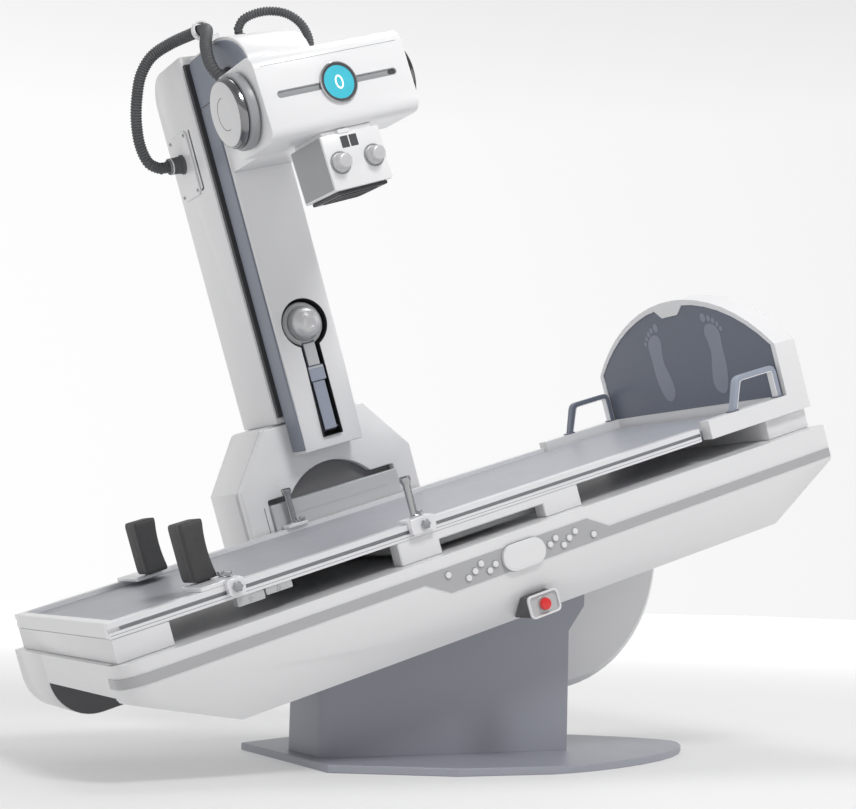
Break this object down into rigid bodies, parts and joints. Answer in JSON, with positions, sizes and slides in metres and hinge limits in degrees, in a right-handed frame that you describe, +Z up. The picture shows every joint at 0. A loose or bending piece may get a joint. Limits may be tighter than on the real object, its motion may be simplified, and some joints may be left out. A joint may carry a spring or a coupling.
{
  "type": "radiography and fluoroscopy system",
  "caption": "Tilting examination table on a pedestal with a column-mounted X-ray tube head, collimator, under-table detector, footboard, shoulder rests and hand grips.",
  "frame": {"origin": "on the floor under the middle of the table, on the base plate's underside", "axes": "+Z up, +X towards the foot end of the level table, -Y towards the operator"},
  "size_m": [2.287, 1.2595, 2.2785],
  "materials": {
    "white_shell": "smooth painted white",
    "light_grey": "satin light grey",
    "slate": "satin blue grey",
    "pedestal_grey": "satin blue grey paint",
    "tabletop_grey": "matt laminate",
    "dark_grey": "dark grey",
    "aluminium": "anodised",
    "steel": "machined",
    "rubber": "matt",
    "red": "gloss",
    "teal": "lit display glass"
  },
  "bodies": {
    "base": {"base_plate": "pedestal_grey", "pedestal": "pedestal_grey", "tilt_shaft": "steel"},
    "tilt_frame": {"tilt_sector": "white_shell", "tilt_frame": "steel"},
    "table": {"deck": "white_shell", "front_fascia": "white_shell", "control_band": "light_grey", "keypad_left": "light_grey", "keypad_right": "light_grey", "oval_cover": "white_shell", "rear_beam": "white_shell", "head_end_plate": "white_shell", "foot_end_plate": "white_shell", "column_rail": "steel", "stop_housing": "light_grey", "front_side_rail": "aluminium", "rear_side_rail": "aluminium", "tabletop_panel": "tabletop_grey", "head_end_member": "white_shell", "head_spacer": "white_shell", "bridge_spacer": "white_shell", "foot_spacer": "white_shell", "footboard_shell": "white_shell", "footboard_panel": "slate", "foot_grip_front": "slate", "foot_grip_rear": "slate"},
    "column": {"carriage_housing": "white_shell", "carriage_cover": "white_shell", "recess_panel": "slate", "detector_arm": "light_grey", "detector_tray": "light_grey", "column_mast": "white_shell", "mast_guide": "dark_grey", "mast_side_cover": "white_shell", "left_hose": "rubber"},
    "beam": {"beam_shell": "white_shell", "beam_side_panel_lower": "slate", "beam_side_panel_upper": "slate", "head_neck": "white_shell", "top_hose_gland": "dark_grey", "hose_clip": "white_shell", "top_hose": "rubber"},
    "compression": {"compression_arm": "slate", "compression_cone": "white_shell"},
    "head": {"head_housing": "white_shell", "head_left_cap": "light_grey", "head_right_cap": "dark_grey", "head_display": "teal", "collimator": "white_shell", "collimator_port": "dark_grey"},
    "knob_left": {"collimator_knob_left": "light_grey"},
    "knob_right": {"collimator_knob_right": "light_grey"},
    "shoulder_front": {"shoulder_clamp_front": "aluminium", "shoulder_pad_front": "rubber"},
    "shoulder_rear": {"shoulder_clamp_rear": "aluminium", "shoulder_pad_rear": "rubber"},
    "grip_front": {"hand_grip_front": "aluminium"},
    "grip_rear": {"hand_grip_rear": "aluminium"},
    "stop": {"stop_button": "red"}
  },
  "joints": [
    {"name": "table_tilt", "type": "hinge", "parent": "base", "child": "tilt_frame", "pos_m": [0.36, 0, 0.62], "axis": [0, 1, 0], "range_deg": [-1.4, 108.6]},
    {"name": "body_shift", "type": "slide", "parent": "tilt_frame", "child": "table", "axis": [-0.9478, 0, -0.319], "range_m": [-0.0045, 0.301]},
    {"name": "column_travel", "type": "slide", "parent": "table", "child": "column", "axis": [0.9478, 0, 0.319], "range_m": [-0.5, 0.5]},
    {"name": "sid_slide", "type": "slide", "parent": "column", "child": "beam", "axis": [-0.319, 0, 0.9478], "range_m": [-0.05, 0.3], "deforming": ["left_hose"]},
    {"name": "tube_rotation", "type": "hinge", "parent": "beam", "child": "head", "pos_m": [-0.47476, -0.09, 1.90908], "axis": [0, 1, 0], "range_deg": [-90, 90]},
    {"name": "compression_swing", "type": "hinge", "parent": "beam", "child": "compression", "pos_m": [-0.18723, 0.371, 1.00138], "axis": [0.9478, 0, 0.319], "range_deg": [0, 90]},
    {"name": "knob_left_turn", "type": "hinge", "parent": "head", "child": "knob_left", "pos_m": [-0.44889, -0.218, 1.68646], "axis": [0, 1, 0], "range_deg": [-150, 150]},
    {"name": "knob_right_turn", "type": "hinge", "parent": "head", "child": "knob_right", "pos_m": [-0.3444, -0.218, 1.72678], "axis": [0, 1, 0], "range_deg": [-150, 150]},
    {"name": "shoulder_front_slide", "type": "slide", "parent": "table", "child": "shoulder_front", "axis": [0.9478, 0, 0.319], "range_m": [-0.2, 0.4]},
    {"name": "shoulder_rear_slide", "type": "slide", "parent": "table", "child": "shoulder_rear", "axis": [0.9478, 0, 0.319], "range_m": [-0.2, 0.4]},
    {"name": "grip_front_slide", "type": "slide", "parent": "table", "child": "grip_front", "axis": [0.9478, 0, 0.319], "range_m": [-0.1, 0.8]},
    {"name": "grip_rear_slide", "type": "slide", "parent": "table", "child": "grip_rear", "axis": [0.9478, 0, 0.319], "range_m": [-0.1, 0.8]},
    {"name": "stop_press", "type": "slide", "parent": "table", "child": "stop", "axis": [0, 1, 0], "range_m": [0, 0.004], "stiffness_N_per_m": 400, "springref_m": -0.002}
  ],
  "couplings": [
    {"joint": "body_shift", "follows": "table_tilt", "m_per_rad": 0.158}
  ]
}
